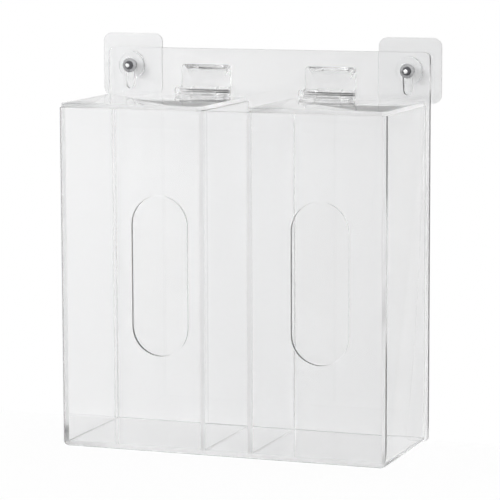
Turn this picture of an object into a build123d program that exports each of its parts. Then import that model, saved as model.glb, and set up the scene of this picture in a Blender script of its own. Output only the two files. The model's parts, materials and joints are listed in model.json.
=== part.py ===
from build123d import *
import os

# Disposable glove dispenser: a clear sheet box with two bays, a narrow open pocket between them,
# two hinged lids and two adhesive wall hooks. Millimetres, +Z up, front face towards -Y.
# The origin is at the bottom centre of everything, hooks and adhesive pads included.

# Sheet box
sheet = 4.0
body_width = 300.0
wall_height = 302.0
body_depth = 122.0
front_corner_radius = 4.5
side_edge_radius = 3.5

# Back panel, a little wider than the box and rising behind the lids
back_overhang = 3.0
back_rise = 46.5
back_corner_radius = 5.0

# Dividers, by the middle of each sheet
left_divider_x = -18.0
right_divider_x = 26.0

# Glove openings in the front panel, upright slots with round ends
opening_width = 52.0
opening_height = 141.5
opening_middle_z = 156.3
left_opening_x = -57.0
right_opening_x = 90.5
opening_edge_radius = 0.6

# Lids
lid_corner_radius = 4.5
lid_edge_radius = 0.6

# Moulded knuckle hinges
hinge_width = 47.5
left_hinge_x = -57.0
right_hinge_x = 61.5
knuckle_radius = 4.0
knuckle_clearance = 0.3
middle_knuckle_width = 23.0
leaf_thickness = 2.2
wall_leaf_length = 24.0
lid_leaf_length = 17.0
leaf_corner_radius = 3.5
leaf_edge_radius = 0.7
web_radius = 0.9
pin_radius = 1.6
pin_running_fit = 0.06
pin_head_radius = 2.9
pin_head_length = 5.5
pin_head_rounding = 1.2

# Wall hooks: adhesive pad, clear disc, screw and domed nut, set in from the back panel's ends
# and down from its top
hook_inset = 20.5
hook_drop = 16.5
pad_size = 58.0
pad_corner_radius = 8.0
pad_thickness = 1.0
disc_radius = 12.5
disc_thickness = 4.5
disc_edge_radius = 1.0
screw_radius = 2.5
screw_head_radius = 5.0
screw_head_thickness = 1.6
nut_flange_radius = 6.5
nut_flange_thickness = 1.2
nut_radius = 3.8
nut_height = 5.6
nut_dome_radius = 3.2
nut_cap = 2.8

# Hanging slots in the back panel, narrowing downwards from each screw
slot_top_clearance = 2.1
slot_bottom_clearance = 1.2
slot_length = 17.5

# Places worked out from the sizes above
total_depth = body_depth + disc_thickness + pad_thickness
front_y = -total_depth / 2
front_inner_y = front_y + sheet
back_rear_y = front_y + body_depth
back_front_y = back_rear_y - sheet
wall_y = front_y + total_depth
half_width = body_width / 2
inner_half_width = half_width - sheet
lid_top_z = wall_height + sheet
axis_offset = knuckle_radius + knuckle_clearance
axis_y = back_front_y - axis_offset
axis_z = lid_top_z + axis_offset
back_height = wall_height + back_rise
hook_x = half_width + back_overhang - hook_inset
hook_z = back_height - hook_drop
hinge_places = {"left": left_hinge_x, "right": right_hinge_x}
hook_places = {"left": -hook_x, "right": hook_x}

os.makedirs("parts", exist_ok=True)


def save(piece, label):
    piece.part.label = label
    export_step(piece.part, f"parts/{label}.step")


def flat_sheet(x_range, y_range, z_range):
    x0, x1 = x_range
    y0, y1 = y_range
    z0, z1 = z_range
    with BuildPart() as piece:
        with Locations(((x0 + x1) / 2, (y0 + y1) / 2, (z0 + z1) / 2)):
            Box(x1 - x0, y1 - y0, z1 - z0)
    return piece


# Front panel: rounded lower corners and the two glove openings with eased rims
with BuildPart() as front_panel:
    with BuildSketch(Plane.XZ.offset(-front_inner_y)) as front_outline:
        with Locations((0, wall_height / 2)):
            Rectangle(body_width, wall_height)
        fillet(front_outline.vertices().group_by(Axis.Y)[0], front_corner_radius)
        with Locations((left_opening_x, opening_middle_z), (right_opening_x, opening_middle_z)):
            SlotOverall(opening_height, opening_width, rotation=90, mode=Mode.SUBTRACT)
    extrude(amount=sheet)
    front_rims = front_panel.faces().sort_by(Axis.Y)[0].inner_wires().edges()
    rear_rims = front_panel.faces().sort_by(Axis.Y)[-1].inner_wires().edges()
    fillet(front_rims + rear_rims, opening_edge_radius)
save(front_panel, "front_panel")

# Back panel: rounded corners and a narrowing slot below each hook screw
slot_top_radius = screw_radius + slot_top_clearance
slot_bottom_radius = screw_radius + slot_bottom_clearance
with BuildPart() as back_panel:
    with BuildSketch(Plane.XZ.offset(-back_rear_y)) as back_outline:
        with Locations((0, back_height / 2)):
            Rectangle(body_width + 2 * back_overhang, back_height)
        fillet(back_outline.vertices(), back_corner_radius)
        for slot_x in hook_places.values():
            with BuildSketch(mode=Mode.PRIVATE) as slot:
                with Locations((slot_x, hook_z)):
                    Circle(slot_top_radius)
                with Locations((slot_x, hook_z - slot_length)):
                    Circle(slot_bottom_radius)
                make_hull()
            add(slot.sketch, mode=Mode.SUBTRACT)
    extrude(amount=sheet)
save(back_panel, "back_panel")

# Side walls between the front and back panels, with the outer lower edge rounded over
for side_name, side in (("left_side", -1), ("right_side", 1)):
    with BuildPart() as side_wall:
        side_middle_x = side * (half_width - sheet / 2)
        with Locations((side_middle_x, (front_inner_y + back_front_y) / 2, wall_height / 2)):
            Box(sheet, back_front_y - front_inner_y, wall_height)
        outer_face = side_wall.faces().sort_by(Axis.X)[0 if side < 0 else -1]
        fillet(outer_face.edges().sort_by(Axis.Z)[0], side_edge_radius)
    save(side_wall, side_name)

# Floor between the side walls, dividers standing on it
floor_panel = flat_sheet((-inner_half_width, inner_half_width), (front_inner_y, back_front_y), (0, sheet))
save(floor_panel, "floor_panel")
for divider_name, divider_x in (("left_divider", left_divider_x), ("right_divider", right_divider_x)):
    divider = flat_sheet(
        (divider_x - sheet / 2, divider_x + sheet / 2),
        (front_inner_y, back_front_y),
        (sheet, wall_height),
    )
    save(divider, divider_name)

# Lids: flush with the front and the side, ending on the middle of the divider and under the hinge axis
lid_spans = {"left": (-half_width, left_divider_x), "right": (right_divider_x, half_width)}
for lid_name, (lid_x0, lid_x1) in lid_spans.items():
    with BuildPart() as lid:
        with BuildSketch(Plane.XY.offset(wall_height)) as lid_outline:
            with Locations(((lid_x0 + lid_x1) / 2, (front_y + axis_y) / 2)):
                Rectangle(lid_x1 - lid_x0, axis_y - front_y)
            fillet(lid_outline.vertices().group_by(Axis.Y)[0], lid_corner_radius)
        extrude(amount=sheet)
        fillet(lid.faces().sort_by(Axis.Z)[-1].outer_wire().edges(), lid_edge_radius)
    save(lid, f"{lid_name}_lid")


# Hinge leaf in its own frame: the pin runs along X through the frame's origin, the plate lies
# axis_offset below it and reaches towards -Y, and each span is one knuckle along the pin
def hinge_leaf(frame, length, spans, bore_radius):
    notch = knuckle_radius + knuckle_clearance
    foot = notch + web_radius
    end = Plane(origin=frame.origin, x_dir=frame.y_dir, z_dir=frame.x_dir)
    with BuildPart() as leaf:
        with BuildSketch(frame.offset(-axis_offset)) as plate:
            with Locations((0, -(length + notch) / 2)):
                Rectangle(hinge_width, length - notch)
            fillet(plate.vertices().group_by(Axis.Y)[0], leaf_corner_radius)
        extrude(amount=leaf_thickness)
        plate_top = leaf.faces().sort_by(Axis(frame.origin, frame.z_dir))[-1]
        far_edges = plate_top.edges().sort_by(Axis(frame.origin, frame.y_dir))[:-1]
        fillet(far_edges, leaf_edge_radius)
        for start, stop in spans:
            with BuildSketch(end.offset(start)) as knuckle:
                Circle(knuckle_radius)
                with Locations((-foot / 2, leaf_thickness / 2 - axis_offset)):
                    Rectangle(foot, leaf_thickness)
                corners = knuckle.vertices().filter_by(lambda corner: -foot < corner.X < -pin_radius)
                fillet(corners.sort_by(Axis.X)[-1], web_radius)
            extrude(amount=stop - start)
        with BuildSketch(end.offset(-hinge_width)):
            Circle(bore_radius)
        extrude(amount=2 * hinge_width, mode=Mode.SUBTRACT)
    return leaf


# Hinges: the wall leaf has the two outer knuckles, the lid leaf the middle one, on one headed pin
half_hinge = hinge_width / 2
half_middle = middle_knuckle_width / 2
outer_start = half_middle + knuckle_clearance
outer_spans = [(-half_hinge, -outer_start), (outer_start, half_hinge)]
middle_spans = [(-half_middle, half_middle)]
for hinge_name, hinge_x in hinge_places.items():
    axis_point = (hinge_x, axis_y, axis_z)
    wall_frame = Plane(origin=axis_point, x_dir=(-1, 0, 0), z_dir=(0, -1, 0))
    lid_frame = Plane(origin=axis_point, x_dir=(1, 0, 0), z_dir=(0, 0, 1))
    wall_leaf = hinge_leaf(wall_frame, wall_leaf_length, outer_spans, pin_radius)
    save(wall_leaf, f"{hinge_name}_hinge_wall_leaf")
    lid_leaf = hinge_leaf(lid_frame, lid_leaf_length, middle_spans, pin_radius + pin_running_fit)
    save(lid_leaf, f"{hinge_name}_hinge_lid_leaf")
    with BuildPart() as pin:
        with BuildSketch(Plane.YZ.offset(hinge_x - half_hinge)):
            with Locations((axis_y, axis_z)):
                Circle(pin_radius)
        extrude(amount=hinge_width)
        with BuildSketch(Plane.YZ.offset(hinge_x - half_hinge)):
            with Locations((axis_y, axis_z)):
                Circle(pin_head_radius)
        extrude(amount=-pin_head_length)
        fillet(pin.edges().sort_by(Axis.X)[0], pin_head_rounding)
    save(pin, f"{hinge_name}_hinge_pin")

# Wall hooks, each in a frame on the wall whose Z runs forward along the screw
nut_seat = total_depth - body_depth + sheet
screw_end = nut_seat + nut_height - nut_cap
for hook_name, centre_x in hook_places.items():
    wall_point = (centre_x, wall_y, hook_z)
    section = Plane(origin=wall_point, x_dir=(1, 0, 0), z_dir=(0, 0, -1))
    screw_axis = Axis(wall_point, (0, -1, 0))

    # Adhesive pad, a thin clear square with rounded corners
    with BuildPart() as pad:
        with BuildSketch(Plane.XZ.offset(-wall_y)):
            with Locations((centre_x, hook_z)):
                RectangleRounded(pad_size, pad_size, pad_corner_radius)
        extrude(amount=pad_thickness)
    save(pad, f"{hook_name}_hook_pad")

    # Disc between the pad and the back panel, holding the screw's head
    with BuildPart() as disc:
        with BuildSketch(section) as disc_profile:
            with BuildLine():
                Polyline(
                    (screw_radius, pad_thickness + screw_head_thickness),
                    (screw_head_radius, pad_thickness + screw_head_thickness),
                    (screw_head_radius, pad_thickness),
                    (disc_radius, pad_thickness),
                    (disc_radius, pad_thickness + disc_thickness),
                    (screw_radius, pad_thickness + disc_thickness),
                    close=True,
                )
            make_face()
            fillet(disc_profile.vertices().group_by(Axis.X)[-1].sort_by(Axis.Y)[-1], disc_edge_radius)
        revolve(axis=screw_axis)
    save(disc, f"{hook_name}_hook_disc")

    # Screw, from its flat head on the pad to its end inside the nut
    with BuildPart() as screw:
        with BuildSketch(section):
            with BuildLine():
                Polyline(
                    (0, pad_thickness),
                    (screw_head_radius, pad_thickness),
                    (screw_head_radius, pad_thickness + screw_head_thickness),
                    (screw_radius, pad_thickness + screw_head_thickness),
                    (screw_radius, screw_end),
                    (0, screw_end),
                    close=True,
                )
            make_face()
        revolve(axis=screw_axis)
    save(screw, f"{hook_name}_hook_screw")

    # Domed nut, closed in front, with a round flange that covers the slot
    with BuildPart() as nut:
        with BuildSketch(section) as nut_profile:
            with BuildLine():
                Polyline(
                    (0, nut_seat + nut_height),
                    (0, screw_end),
                    (screw_radius, screw_end),
                    (screw_radius, nut_seat),
                    (nut_flange_radius, nut_seat),
                    (nut_flange_radius, nut_seat + nut_flange_thickness),
                    (nut_radius, nut_seat + nut_flange_thickness),
                    (nut_radius, nut_seat + nut_height),
                    close=True,
                )
            make_face()
            nut_tip = nut_profile.vertices().group_by(Axis.Y)[-1]
            fillet(nut_tip.sort_by(Axis.X)[-1], nut_dome_radius)
        revolve(axis=screw_axis)
    save(nut, f"{hook_name}_domed_nut")
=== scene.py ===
# %% [markdown]
# # A clear glove dispenser
#
# The real object is a box of clear sheet, most likely acrylic, that hangs on two adhesive hooks.
# Almost everything one sees of it is what the sheets do to light: pale faces, grey cut edges, and
# mirror images at shallow angles. So the shapes come from the construction model, and this lesson
# spends its effort on the acrylic, on the light round it and on the small metal and moulded pieces.
#
# The first cell loads the construction model. Its box is kept, and the wall and floor are placed by
# it.

# %% Load the construction model
import json
import math

import bmesh
import bpy
from mathutils import Matrix, Vector


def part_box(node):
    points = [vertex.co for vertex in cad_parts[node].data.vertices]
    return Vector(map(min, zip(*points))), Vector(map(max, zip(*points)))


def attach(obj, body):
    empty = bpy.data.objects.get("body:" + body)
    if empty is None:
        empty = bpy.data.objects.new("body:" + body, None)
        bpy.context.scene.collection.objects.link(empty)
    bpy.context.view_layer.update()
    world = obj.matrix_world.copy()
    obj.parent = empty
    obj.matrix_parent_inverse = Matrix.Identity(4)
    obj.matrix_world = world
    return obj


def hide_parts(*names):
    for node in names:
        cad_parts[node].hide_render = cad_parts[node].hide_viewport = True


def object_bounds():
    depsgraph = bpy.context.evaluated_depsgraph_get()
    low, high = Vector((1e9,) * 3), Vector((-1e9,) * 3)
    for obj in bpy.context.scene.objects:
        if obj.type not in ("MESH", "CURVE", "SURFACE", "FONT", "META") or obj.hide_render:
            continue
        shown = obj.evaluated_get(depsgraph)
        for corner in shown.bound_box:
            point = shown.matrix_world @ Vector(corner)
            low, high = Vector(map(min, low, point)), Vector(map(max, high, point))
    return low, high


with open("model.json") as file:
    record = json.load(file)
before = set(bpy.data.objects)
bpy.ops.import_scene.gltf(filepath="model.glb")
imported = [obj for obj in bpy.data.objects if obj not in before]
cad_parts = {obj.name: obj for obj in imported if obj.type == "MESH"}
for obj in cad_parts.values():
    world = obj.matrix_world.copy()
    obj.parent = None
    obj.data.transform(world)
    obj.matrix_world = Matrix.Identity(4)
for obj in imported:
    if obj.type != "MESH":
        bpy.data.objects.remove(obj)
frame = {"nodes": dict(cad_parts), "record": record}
cad_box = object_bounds()
nodes = frame["nodes"]
scene = bpy.context.scene
print("pieces in the construction model:", len(nodes))

# %% [markdown]
# ## The camera
#
# The photograph's edges fit a camera with a long lens, some 2.3 m away, to the right and a little
# above. A camera is easiest to place by its three directions: its right, its up and the way it looks.
# They make the columns of its matrix. The third has its sign turned, because a camera looks along its
# own minus Z.

# %% Camera at the photograph's place
CAMERA_PLACE = Vector((0.8176, -2.2183, 0.4951))
CAMERA_YAW = 0.35148
CAMERA_PITCH = -0.13500
CAMERA_ROLL = -0.00319
FOCAL_PIXELS = 2688.3
FRAME_PIXELS = 500
SENSOR_MM = 36.0
SEES_AS_FAR_AS = 50.0


def make_camera():
    look = Vector((
        -math.sin(CAMERA_YAW) * math.cos(CAMERA_PITCH),
        math.cos(CAMERA_YAW) * math.cos(CAMERA_PITCH),
        math.sin(CAMERA_PITCH),
    ))
    level_right = Vector((math.cos(CAMERA_YAW), math.sin(CAMERA_YAW), 0))
    level_up = level_right.cross(look)
    right = math.cos(CAMERA_ROLL) * level_right + math.sin(CAMERA_ROLL) * level_up
    up = right.cross(look)
    data = bpy.data.cameras.new("camera")
    data.sensor_width = SENSOR_MM
    data.lens = FOCAL_PIXELS / FRAME_PIXELS * SENSOR_MM
    data.clip_end = SEES_AS_FAR_AS
    camera = bpy.data.objects.new("camera", data)
    turned = Matrix((right, up, -look)).transposed().to_4x4()
    camera.matrix_world = Matrix.Translation(CAMERA_PLACE) @ turned
    scene.collection.objects.link(camera)
    scene.camera = camera
    return camera


camera = make_camera()
scene.view_settings.view_transform = "Standard"
print("lens in mm:", round(camera.data.lens, 1))

# %% [markdown]
# ## Helpers for node materials
#
# Every finish below is a small tree of nodes. Four helpers keep the cells short: one starts an empty
# tree, one adds a node and sets its sockets, one joins two sockets, and one writes a grey as a colour.

# %% Node helpers
def empty_tree(owner):
    owner.use_nodes = True
    owner.node_tree.nodes.clear()
    return owner.node_tree


def add(tree, kind, settings=None, **sockets):
    node = tree.nodes.new(kind)
    for name, value in (settings or {}).items():
        setattr(node, name, value)
    for name, value in sockets.items():
        node.inputs[name.replace("_", " ")].default_value = value
    return node


def join(tree, source, output, target, socket):
    tree.links.new(source.outputs[output], target.inputs[socket])


def grey(value):
    return (value, value, value, 1.0)


print("white as a colour:", grey(1.0))

# %% [markdown]
# ## Clear acrylic
#
# Acrylic bends light a little less than glass: its index is 1.49. A Principled shader with full
# Transmission does that. Three things keep it from looking computed. Cast sheet is never quite flat,
# so a wide, very weak bump bends the reflections. Wiping leaves faint marks, so roughness varies by a
# hair. And a ray tracer brings little lamp light through clear solids, so the acrylic's shadow would
# come out far too dark: for shadow rays the surface turns into a tinted Transparent shader instead.
#
# A sheet's two large faces are glossy, but its edges are sawn and only lightly polished, so they
# scatter light and show as pale grey lines. The object-space normal tells the two apart: on the large
# faces it points along the sheet's thin direction, and everywhere else is edge.

# %% Sawn edges
EDGE_ROUGHNESS = 0.32
LEAN_OF_A_FACE = 0.95
LEAN_OF_AN_EDGE = 0.6


def cut_edge(tree, place, thin_axis):
    parts = add(tree, "ShaderNodeSeparateXYZ")
    facing = add(tree, "ShaderNodeMath", {"operation": "ABSOLUTE"})
    edge = add(
        tree, "ShaderNodeMapRange", From_Min=LEAN_OF_A_FACE, From_Max=LEAN_OF_AN_EDGE,
        To_Min=0.0, To_Max=EDGE_ROUGHNESS,
    )
    join(tree, place, "Normal", parts, "Vector")
    join(tree, parts, thin_axis, facing, 0)
    join(tree, facing, "Value", edge, "Value")
    return edge


print("roughness of a sawn edge:", EDGE_ROUGHNESS)

# %% [markdown]
# The material itself is one function, because sheet, mouldings and adhesive film are all clear
# acrylic. They differ in tint, in how rough and wavy they are, and in whether they have sawn edges.

# %% Acrylic material
ACRYLIC_INDEX = 1.49
SHADOW_TINT = 0.985
WIPED_FROM = 0.35
WIPED_TO = 0.75


def acrylic(name, tint, roughness, wave_size, wave_height, mark_size, thin_axis=None):
    material = bpy.data.materials.new(name)
    tree = empty_tree(material)
    place = add(tree, "ShaderNodeTexCoord")
    shader = add(
        tree, "ShaderNodeBsdfPrincipled", IOR=ACRYLIC_INDEX, Transmission_Weight=1.0,
        Base_Color=tint,
    )

    smooth, rough = roughness
    marks = add(tree, "ShaderNodeTexNoise", Scale=mark_size, Detail=4.0, Roughness=0.6)
    spread = add(
        tree, "ShaderNodeMapRange", From_Min=WIPED_FROM, From_Max=WIPED_TO, To_Min=smooth, To_Max=rough
    )
    join(tree, place, "Object", marks, "Vector")
    join(tree, marks, "Fac", spread, "Value")
    if thin_axis:
        rougher = add(tree, "ShaderNodeMath", {"operation": "MAXIMUM"})
        join(tree, spread, "Result", rougher, 0)
        join(tree, cut_edge(tree, place, thin_axis), "Result", rougher, 1)
        join(tree, rougher, "Value", shader, "Roughness")
    else:
        join(tree, spread, "Result", shader, "Roughness")

    waves = add(tree, "ShaderNodeTexNoise", Scale=wave_size, Detail=1.0)
    bump = add(tree, "ShaderNodeBump", Strength=1.0, Distance=wave_height)
    join(tree, place, "Object", waves, "Vector")
    join(tree, waves, "Fac", bump, "Height")
    join(tree, bump, "Normal", shader, "Normal")

    light_path = add(tree, "ShaderNodeLightPath")
    pale_shadow = add(tree, "ShaderNodeBsdfTransparent", Color=grey(SHADOW_TINT))
    choose = add(tree, "ShaderNodeMixShader")
    output = add(tree, "ShaderNodeOutputMaterial")
    join(tree, light_path, "Is Shadow Ray", choose, 0)
    join(tree, shader, "BSDF", choose, 1)
    join(tree, pale_shadow, "BSDF", choose, 2)
    join(tree, choose, "Shader", output, "Surface")
    return material


print("acrylic's index and shadow tint:", ACRYLIC_INDEX, SHADOW_TINT)

# %% [markdown]
# The flat sheet needs one material for each direction in which a sheet can be thin. The mouldings
# have no sawn edges, but came out of their mould a little rougher and wavier than sheet. The adhesive
# film is cut like the sheet, but it is soft, so it is wavier and a little darker.

# %% Three kinds of acrylic
sheet_finishes = {
    axis: acrylic(
        f"sheet_thin_along_{axis}", tint=(0.995, 0.996, 0.998, 1), roughness=(0.0, 0.008),
        wave_size=9.0, wave_height=0.00002, mark_size=60.0, thin_axis=axis,
    )
    for axis in "XYZ"
}
moulded_finish = acrylic(
    "moulded_acrylic", tint=(0.996, 0.997, 0.998, 1), roughness=(0.05, 0.12),
    wave_size=160.0, wave_height=0.00004, mark_size=120.0,
)
film_finish = acrylic(
    "adhesive_film", tint=(0.975, 0.977, 0.98, 1), roughness=(0.0, 0.06),
    wave_size=40.0, wave_height=0.00005, mark_size=200.0, thin_axis="Y",
)
acrylic_finishes = [*sheet_finishes.values(), moulded_finish, film_finish]
print("acrylic finishes:", [finish.name for finish in acrylic_finishes])

# %% [markdown]
# ## Polished metal
#
# The nuts and screws are small and shiny, and are taken to be metal. Metal shows only what it
# reflects, so it needs little: full Metallic, and low roughness with fine turning marks.

# %% Turned metal
TURNING_MARK_SIZE = 900.0
POLISHED_ROUGHNESS = 0.06
MARKED_ROUGHNESS = 0.18
MARKED_FROM = 0.3
MARKED_TO = 0.7
SCREW_COLOUR = (0.62, 0.63, 0.65, 1)


def turned_metal(name):
    material = bpy.data.materials.new(name)
    tree = empty_tree(material)
    place = add(tree, "ShaderNodeTexCoord")
    shader = add(tree, "ShaderNodeBsdfPrincipled", Metallic=1.0)
    marks = add(tree, "ShaderNodeTexNoise", Scale=TURNING_MARK_SIZE, Detail=3.0)
    spread = add(
        tree, "ShaderNodeMapRange", From_Min=MARKED_FROM, From_Max=MARKED_TO,
        To_Min=POLISHED_ROUGHNESS, To_Max=MARKED_ROUGHNESS,
    )
    output = add(tree, "ShaderNodeOutputMaterial")
    join(tree, place, "Object", marks, "Vector")
    join(tree, marks, "Fac", spread, "Value")
    join(tree, spread, "Result", shader, "Roughness")
    join(tree, shader, "BSDF", output, "Surface")
    return material, tree, place, shader


def screw_metal():
    material, _, _, shader = turned_metal("polished_metal")
    shader.inputs["Base Color"].default_value = SCREW_COLOUR
    return material


screw_finish = screw_metal()
print("screw finish:", screw_finish.name)

# %% [markdown]
# The nut is made as one turned piece with three zones: a pale tip, a dark ring round it and a grey
# flange. The pale tip is a painted highlight, where the polished dome would mirror a bright light.
# The zones follow the distance from the nut's own axis, which the construction model gives, so a ramp
# over that distance colours them, from each one smoothly to the next. Both nuts stand equally far
# from the middle, so the distance uses the size of X without its sign. Each zone below is a distance
# in metres and its colour.
#
# Fine teeth, which are a bump and no geometry, break up what the nut mirrors. The photograph shows
# specks round the left nut alone, so the teeth are a guess.

# %% Nut with a painted highlight at its tip and a dark ring
left_nut_low, left_nut_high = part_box("left_domed_nut")
NUT_AXIS = (abs(left_nut_low.x + left_nut_high.x) / 2, 0.0, (left_nut_low.z + left_nut_high.z) / 2)
NUT_REACH = (left_nut_high.x - left_nut_low.x) / 2
NUT_ZONES_WITH_PAINTED_HIGHLIGHT = (
    # the first zone, the pale tip, is a painted highlight
    (0.0015, (0.90, 0.90, 0.90, 1)),
    (0.0021, (0.10, 0.10, 0.11, 1)),
    (0.0037, (0.16, 0.16, 0.17, 1)),
    (0.0042, (0.52, 0.52, 0.53, 1)),
)
TOOTH_SIZE = 1400.0
TOOTH_HEIGHT = 0.00025
TOOTH_STRENGTH = 0.6


def nut_metal_with_painted_highlight():
    material, tree, place, shader = turned_metal("nut_metal_with_painted_highlight")
    parts = add(tree, "ShaderNodeSeparateXYZ")
    size_of_x = add(tree, "ShaderNodeMath", {"operation": "ABSOLUTE"})
    flat = add(tree, "ShaderNodeCombineXYZ")
    distance = add(tree, "ShaderNodeVectorMath", {"operation": "DISTANCE"})
    distance.inputs[1].default_value = NUT_AXIS
    share = add(tree, "ShaderNodeMapRange", From_Min=0.0, From_Max=NUT_REACH)
    ramp = add(tree, "ShaderNodeValToRGB")
    stops = ramp.color_ramp.elements
    while len(stops) < len(NUT_ZONES_WITH_PAINTED_HIGHLIGHT):
        stops.new(1.0)
    for stop, (radius, colour) in zip(stops, NUT_ZONES_WITH_PAINTED_HIGHLIGHT):
        stop.position = radius / NUT_REACH
        stop.color = colour
    join(tree, place, "Object", parts, "Vector")
    join(tree, parts, "X", size_of_x, 0)
    join(tree, size_of_x, "Value", flat, "X")
    join(tree, parts, "Z", flat, "Z")
    join(tree, flat, "Vector", distance, 0)
    join(tree, distance, "Value", share, "Value")
    join(tree, share, "Result", ramp, "Fac")
    join(tree, ramp, "Color", shader, "Base Color")

    teeth = add(tree, "ShaderNodeTexVoronoi", Scale=TOOTH_SIZE)
    bump = add(tree, "ShaderNodeBump", Strength=TOOTH_STRENGTH, Distance=TOOTH_HEIGHT)
    join(tree, place, "Object", teeth, "Vector")
    join(tree, teeth, "Distance", bump, "Height")
    join(tree, bump, "Normal", shader, "Normal")
    return material


nut_finish_with_painted_highlight = nut_metal_with_painted_highlight()
print("nut's radius in mm:", round(1000 * NUT_REACH, 2))

# %% [markdown]
# ## Dress the construction model
#
# Each solid gets its finish in its object's material slot, by the kind of piece that its name gives.
# The words are tried in order, so that a hinge's leaf on the lid counts as hinge and not as lid.

# %% Finishes by piece
FINISHES = {
    "hinge": moulded_finish,
    "disc": moulded_finish,
    "pad": film_finish,
    "screw": screw_finish,
    "nut": nut_finish_with_painted_highlight,
    "side": sheet_finishes["X"],
    "divider": sheet_finishes["X"],
    "floor": sheet_finishes["Z"],
    "lid": sheet_finishes["Z"],
    "front": sheet_finishes["Y"],
    "back": sheet_finishes["Y"],
}


def finish_for(name):
    return next(finish for word, finish in FINISHES.items() if word in name)


for name, node in nodes.items():
    for material_slot in node.material_slots:
        material_slot.link = "OBJECT"
        material_slot.material = finish_for(name)
print("finishes in use:", len({finish_for(name).name for name in nodes}))

# %% [markdown]
# ## The film where pieces meet
#
# Cemented or stacked pieces never share one surface: between them is a film of cement or air, a few
# hundredths of a millimetre thick. In the construction model they touch exactly, and two clear
# surfaces at one place render black, because the ray tracer can't tell which comes first. So each
# piece that lies between others is stood for by a copy that is a hair smaller all round. The front
# and back panels and the pads stay, because what they touch has drawn back.
#
# The copy's loose triangles are merged first. Then each point moves inwards along its normal, further
# at a corner, so that every face draws back by the same amount.

# %% Copies a hair smaller
FILM = 0.00005
SAME_POINT = 0.000001
CREASE = math.radians(30)
KEPT_WHOLE = ("front", "back", "pad")

body_of_piece = {
    name: body
    for body, names in frame["record"]["behaviour"]["bodies"].items()
    for name in names
}


def hair_smaller(name):
    shape = bmesh.new()
    shape.from_mesh(nodes[name].data)
    bmesh.ops.remove_doubles(shape, verts=shape.verts, dist=SAME_POINT)
    shape.normal_update()
    for vertex in shape.verts:
        vertex.co -= vertex.normal * vertex.calc_shell_factor() * FILM
    mesh = bpy.data.meshes.new(f"{name}_in_film")
    shape.to_mesh(mesh)
    shape.free()
    mesh.polygons.foreach_set("use_smooth", [True] * len(mesh.polygons))
    mesh.set_sharp_from_angle(angle=CREASE)
    mesh.materials.append(finish_for(name))
    piece = bpy.data.objects.new(f"{name}_in_film", mesh)
    scene.collection.objects.link(piece)
    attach(piece, body_of_piece[name])
    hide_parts(name)


between = [name for name in sorted(nodes) if not any(word in name for word in KEPT_WHOLE)]
for name in between:
    hair_smaller(name)
print("pieces drawn back by a film:", len(between))

# %% [markdown]
# ## A white background that acrylic can stand against
#
# The photograph's background is cut out to pure white, but behind the clear sheets one sees the real
# wall, which is a little darker and carries soft shadows. Light Path makes both true at once, because
# it tells a ray that comes straight from the camera from one that metal or acrylic has turned.
#
# The first kind finds white. Metal and acrylic should show that white as well, so glossy and
# transmission rays find a part of it, and the lit wall or floor for the rest. That leaves the sheets
# a little darker than the background, as the photograph has them.

# %% White background for each kind of ray
POLISHED_SHARE = 0.4


def part_for_polished(tree, light_path):
    polished = add(tree, "ShaderNodeMath", {"operation": "MAXIMUM"})
    part = add(tree, "ShaderNodeMath", {"operation": "MULTIPLY"})
    part.inputs[1].default_value = POLISHED_SHARE
    join(tree, light_path, "Is Glossy Ray", polished, 0)
    join(tree, light_path, "Is Transmission Ray", polished, 1)
    join(tree, polished, "Value", part, 0)
    return part


print("white that acrylic and metal find:", POLISHED_SHARE)

# %% [markdown]
# ## Wall and floor
#
# Both use one material function. On the wall the grey falls off from left to right: that is painted
# shade, standing for light that fades towards the right behind the sheets. The floor keeps a trace of
# the object's shadow close to it, and turns to plain white further out. Seen from behind, either is
# clear, so that the object's back can be looked at too.

# %% Wall and floor
WALL_GREY = 0.82
# the wall's darker grey at the right is painted shade
WALL_RIGHT_PAINTED_SHADE_GREY = 0.68
WALL_LEFT_X = -0.15
WALL_RIGHT_X = 0.17
FLOOR_GREY = 0.80
FLOOR_SHADOW = 0.05
SHADOW_NEAR = 0.2
SHADOW_FAR = 0.45
STAGE_GAP = 0.0003
STAGE_REACH = 3


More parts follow.
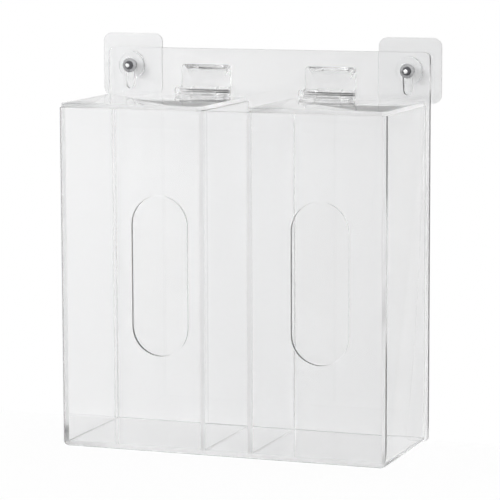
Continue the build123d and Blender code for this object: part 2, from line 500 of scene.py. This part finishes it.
def stage_material(name, left_grey, right_grey, shadow_share):
    material = bpy.data.materials.new(name)
    tree = empty_tree(material)
    light_path = add(tree, "ShaderNodeLightPath")
    facing = add(tree, "ShaderNodeNewGeometry")
    place = add(tree, "ShaderNodeTexCoord")
    parts = add(tree, "ShaderNodeSeparateXYZ")
    # grey from left to right; on the wall its fall to the right is painted shade
    across = add(
        tree, "ShaderNodeMapRange", From_Min=WALL_LEFT_X, From_Max=WALL_RIGHT_X,
        To_Min=left_grey, To_Max=right_grey,
    )
    away = add(tree, "ShaderNodeVectorMath", {"operation": "LENGTH"})
    whiteness = add(
        tree, "ShaderNodeMapRange", From_Min=SHADOW_NEAR, From_Max=SHADOW_FAR,
        To_Min=1.0 - shadow_share, To_Max=1.0,
    )
    lit = add(tree, "ShaderNodeBsdfDiffuse")
    white = add(tree, "ShaderNodeEmission", Color=grey(1.0), Strength=1.0)
    camera_share = add(tree, "ShaderNodeMath", {"operation": "MULTIPLY"})
    share = add(tree, "ShaderNodeMath", {"operation": "MAXIMUM"})
    cut_out = add(tree, "ShaderNodeMixShader")
    clear = add(tree, "ShaderNodeBsdfTransparent")
    one_sided = add(tree, "ShaderNodeMixShader")
    output = add(tree, "ShaderNodeOutputMaterial")
    join(tree, place, "Object", parts, "Vector")
    join(tree, parts, "X", across, "Value")
    join(tree, across, "Result", lit, "Color")
    join(tree, place, "Object", away, 0)
    join(tree, away, "Value", whiteness, "Value")
    join(tree, light_path, "Is Camera Ray", camera_share, 0)
    join(tree, whiteness, "Result", camera_share, 1)
    join(tree, camera_share, "Value", share, 0)
    join(tree, part_for_polished(tree, light_path), "Value", share, 1)
    join(tree, share, "Value", cut_out, 0)
    join(tree, lit, "BSDF", cut_out, 1)
    join(tree, white, "Emission", cut_out, 2)
    join(tree, facing, "Backfacing", one_sided, 0)
    join(tree, cut_out, "Shader", one_sided, 1)
    join(tree, clear, "BSDF", one_sided, 2)
    join(tree, one_sided, "Shader", output, "Surface")
    return material


def stage_plane(name, corners, material):
    mesh = bpy.data.meshes.new(name)
    mesh.from_pydata(corners, [], [(0, 1, 2, 3)])
    mesh.materials.append(material)
    plane = bpy.data.objects.new(name, mesh)
    scene.collection.objects.link(plane)


lowest, highest = cad_box
wall_y = highest.y + STAGE_GAP
floor_z = lowest.z - STAGE_GAP
stage_plane(
    "wall",
    [
        (-STAGE_REACH, wall_y, floor_z),
        (STAGE_REACH, wall_y, floor_z),
        (STAGE_REACH, wall_y, STAGE_REACH),
        (-STAGE_REACH, wall_y, STAGE_REACH),
    ],
    stage_material("pale_wall_with_painted_falloff", WALL_GREY, WALL_RIGHT_PAINTED_SHADE_GREY, 0.0),
)
stage_plane(
    "floor",
    [
        (-STAGE_REACH, -STAGE_REACH, floor_z),
        (STAGE_REACH, -STAGE_REACH, floor_z),
        (STAGE_REACH, wall_y, floor_z),
        (-STAGE_REACH, wall_y, floor_z),
    ],
    stage_material("pale_floor", FLOOR_GREY, FLOOR_GREY, FLOOR_SHADOW),
)
print("wall at", round(wall_y, 4), "floor at", round(floor_z, 4))

# %% [markdown]
# ## The room
#
# Clear edges and polished metal show the room all round, so an even grey would leave them flat. This
# room is lighter on the left, where the lamp stands, and darker on the right. World shaders get the
# direction of each ray as their Generated coordinate, and its X part blends the two.

# %% World
SKY_WHITE = 1.0
ROOM_LEFT = 0.98
ROOM_RIGHT = 0.88


def make_world():
    world = bpy.data.worlds.new("studio")
    scene.world = world
    tree = empty_tree(world)
    light_path = add(tree, "ShaderNodeLightPath")
    direction = add(tree, "ShaderNodeTexCoord")
    parts = add(tree, "ShaderNodeSeparateXYZ")
    across = add(
        tree, "ShaderNodeMapRange", From_Min=-1.0, From_Max=1.0, To_Min=ROOM_LEFT, To_Max=ROOM_RIGHT
    )
    room = add(tree, "ShaderNodeBackground", Color=grey(1.0))
    white = add(tree, "ShaderNodeBackground", Color=grey(1.0), Strength=SKY_WHITE)
    share = add(tree, "ShaderNodeMath", {"operation": "MAXIMUM"})
    choose = add(tree, "ShaderNodeMixShader")
    output = add(tree, "ShaderNodeOutputWorld")
    join(tree, direction, "Generated", parts, "Vector")
    join(tree, parts, "X", across, "Value")
    join(tree, across, "Result", room, "Strength")
    join(tree, light_path, "Is Camera Ray", share, 0)
    join(tree, part_for_polished(tree, light_path), "Value", share, 1)
    join(tree, share, "Value", choose, 0)
    join(tree, room, "Background", choose, 1)
    join(tree, white, "Background", choose, 2)
    join(tree, choose, "Shader", output, "Surface")


make_world()
print("room light from left to right:", ROOM_LEFT, ROOM_RIGHT)

# %% [markdown]
# ## A soft lamp
#
# The shadows beside the hinges and nuts fall to the right, and at the left nut a little down as well,
# so the lamp is a large soft box at the upper left in front. Its distance keeps the light nearly even
# over the object.

# %% Lamp
KEY_PLACE = Vector((-2.2, -2.3, 1.6))
KEY_TARGET = Vector((0, 0, 0.18))
KEY_SIZE = 0.8
KEY_WATTS = 33


def soft_box(name, place, target, size, watts):
    data = bpy.data.lights.new(name, "AREA")
    data.shape = "RECTANGLE"
    data.size = size
    data.size_y = size
    data.energy = watts
    lamp = bpy.data.objects.new(name, data)
    lamp.location = place
    lamp.rotation_mode = "QUATERNION"
    lamp.rotation_quaternion = (target - place).to_track_quat("-Z", "Y")
    scene.collection.objects.link(lamp)
    return lamp


key = soft_box("key_lamp", KEY_PLACE, KEY_TARGET, KEY_SIZE, KEY_WATTS)
print("lamp:", key.name, "at", round((KEY_TARGET - KEY_PLACE).length, 2), "m")

# %% [markdown]
# ## How far light is followed
#
# A slanting look through this object crosses six sheets with two surfaces each, and they mirror one
# another. With Blender's usual limit of twelve, the longest of these paths would end in black.

# %% Bounces
SURFACES_IN_LINE = 32
MIRRORS_IN_LINE = 12
scene.cycles.max_bounces = SURFACES_IN_LINE
scene.cycles.transmission_bounces = SURFACES_IN_LINE
scene.cycles.glossy_bounces = MIRRORS_IN_LINE
scene.cycles.transparent_max_bounces = SURFACES_IN_LINE
print("surfaces followed:", SURFACES_IN_LINE)
